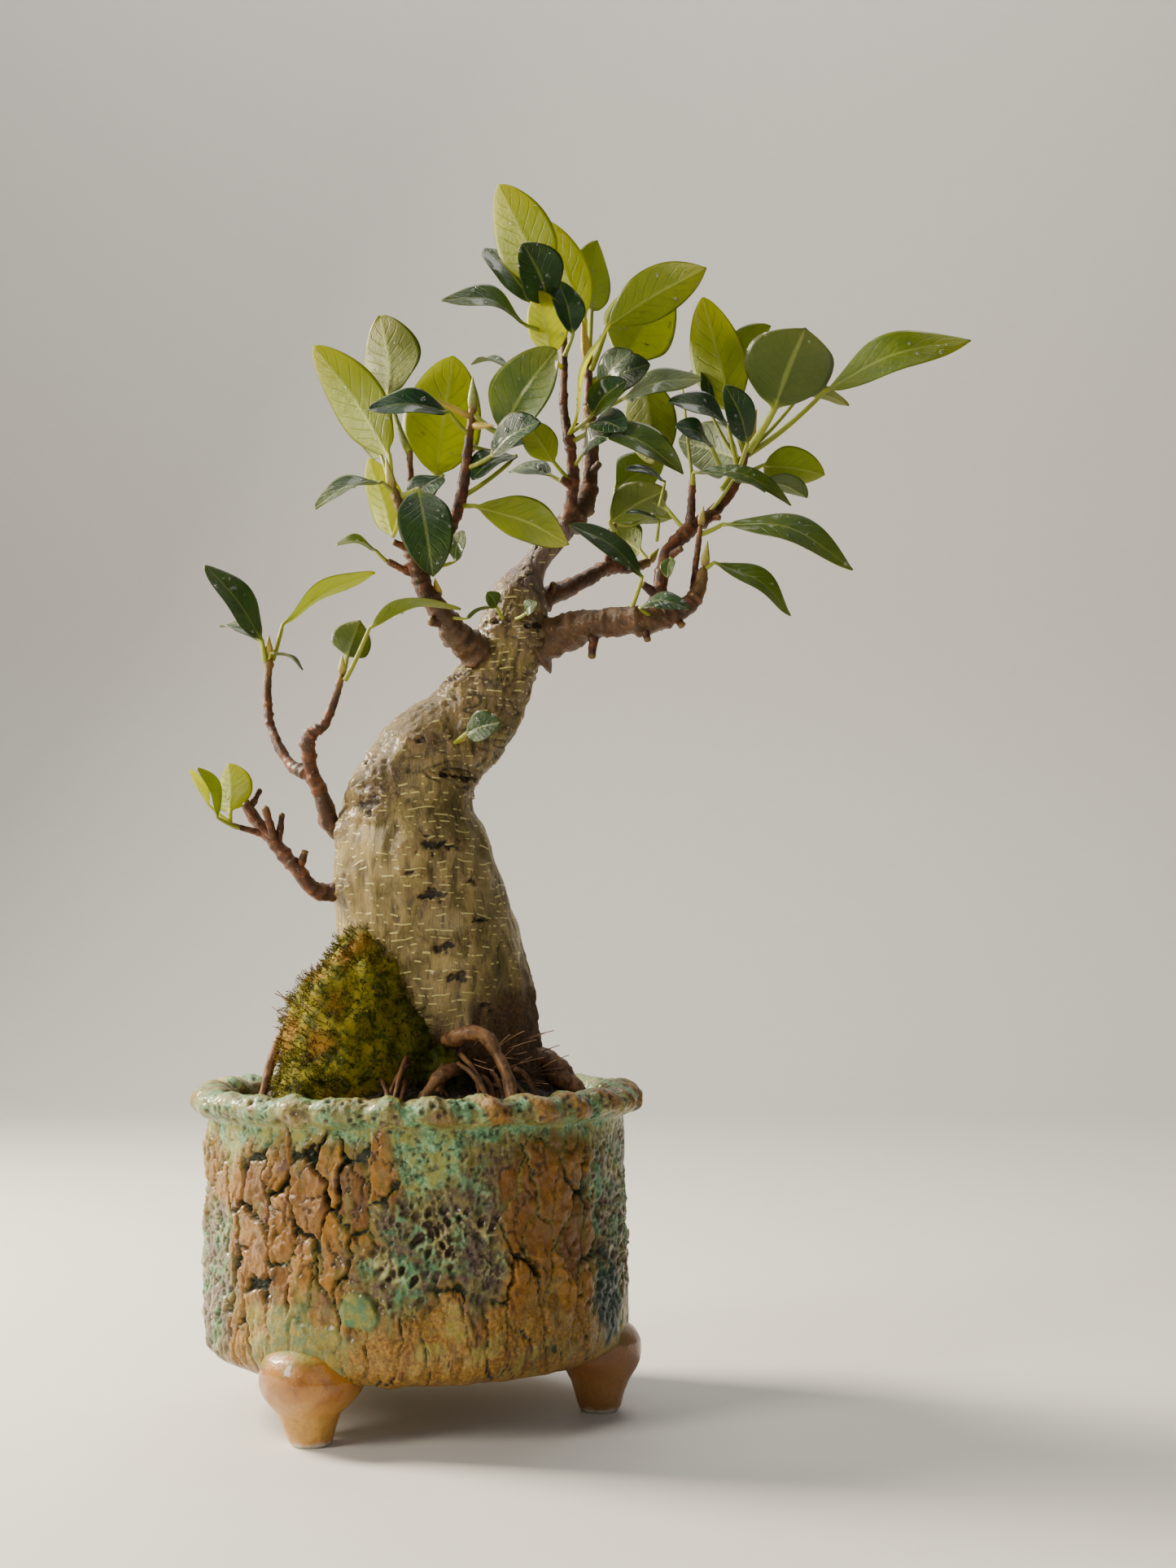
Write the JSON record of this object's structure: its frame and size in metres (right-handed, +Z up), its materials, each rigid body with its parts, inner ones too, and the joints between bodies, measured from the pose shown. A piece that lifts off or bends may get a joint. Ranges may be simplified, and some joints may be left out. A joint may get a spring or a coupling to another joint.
{
  "type": "potted bonsai tree",
  "caption": "Small ficus bonsai with a swollen, curving trunk, rising branches and glossy leaves, in a round bark-textured glazed pot on bulb feet.",
  "frame": {"origin": "centre of the whole plant's box, on the table plane under the pot's feet", "axes": "+Z up along the tree, -Y the display side, +X the way the crown leans"},
  "size_m": [0.2506, 0.141, 0.3976],
  "materials": {
    "glaze": "gloss",
    "screen": "matte",
    "soil": "matte",
    "moss": "matte",
    "bark": "satin",
    "twig": "satin",
    "root": "satin",
    "leaf": "gloss"
  },
  "bodies": {
    "root": {"pot": "glaze", "drain_screen": "screen", "soil": "soil", "moss": "moss", "trunk": "bark", "branch_low_left": "twig", "branch_forked": "twig", "branch_upper_left": "twig", "branch_upright": "twig", "branch_right": "twig", "branch_riser": "twig", "branch_back_right": "twig", "stem_back": "twig", "stem_leader": "twig", "root_arched": "root", "root_front": "root", "root_left": "root", "root_right": "root", "root_back": "root", "leaf_low_round": "leaf", "leaf_low_narrow": "leaf", "leaf_fork_dark": "leaf", "leaf_fork_bright": "leaf", "leaf_knob_round": "leaf", "leaf_knob_long": "leaf", "leaf_left_tall": "leaf", "leaf_left_rear": "leaf", "leaf_left_broad": "leaf", "leaf_left_dark": "leaf", "leaf_upright_wide": "leaf", "leaf_upright_small": "leaf", "leaf_leader_round": "leaf", "leaf_cross": "leaf", "leaf_left_glow": "leaf", "leaf_left_edge": "leaf", "leaf_left_front": "leaf", "leaf_apex": "leaf", "leaf_apex_dark": "leaf", "leaf_apex_rear": "leaf", "leaf_apex_flat": "leaf", "leaf_yellow": "leaf", "leaf_mottled": "leaf", "leaf_crown_right": "leaf", "leaf_crown_round": "leaf", "leaf_blade_edge": "leaf", "leaf_olive_flat": "leaf", "leaf_hanging": "leaf", "leaf_mid_flat": "leaf", "leaf_right_tall": "leaf", "leaf_right_round": "leaf", "leaf_right_long": "leaf", "leaf_right_dark": "leaf", "leaf_right_olive": "leaf", "leaf_right_arched": "leaf", "leaf_right_droop": "leaf", "leaf_right_low": "leaf", "leaf_inner_upper": "leaf", "leaf_inner_wide": "leaf", "leaf_inner_front": "leaf"}
  },
  "joints": []
}
